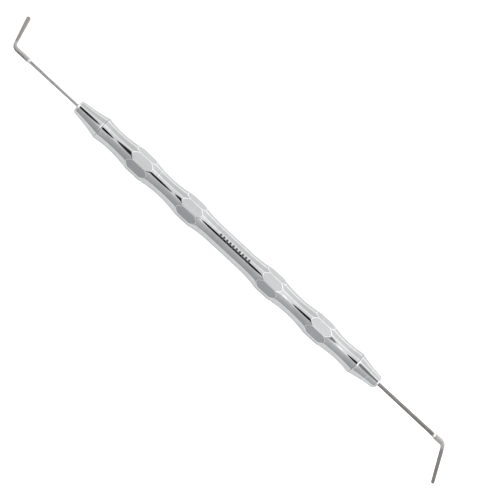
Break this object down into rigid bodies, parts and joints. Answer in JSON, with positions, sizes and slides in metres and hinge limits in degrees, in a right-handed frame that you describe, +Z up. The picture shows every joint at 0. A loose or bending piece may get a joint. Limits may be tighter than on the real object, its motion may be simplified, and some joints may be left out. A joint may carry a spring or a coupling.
{
  "type": "dental explorer",
  "caption": "Double-ended dental explorer: waisted steel handle with eight-sided grip swellings, tapered noses and a thin bent flat-bladed tip at each end.",
  "frame": {"origin": "on the surface the instrument lies on, under the middle of its overall length and width; the handle's axis is about 1 mm to the +Y side of it", "axes": "+X along the handle towards end B (the longer blade), +Z up, +Y towards the side that end A's blade turns to"},
  "size_m": [0.1811, 0.021, 0.0076],
  "materials": {
    "handle_steel": "satin polished",
    "nose_steel": "satin polished",
    "tip_steel": "heat-treated, fine ground"
  },
  "bodies": {
    "root": {"handle_tube": "handle_steel", "nose_cone_a": "nose_steel", "nose_cone_b": "nose_steel", "working_end_a": "tip_steel", "working_end_b": "tip_steel"}
  },
  "joints": []
}
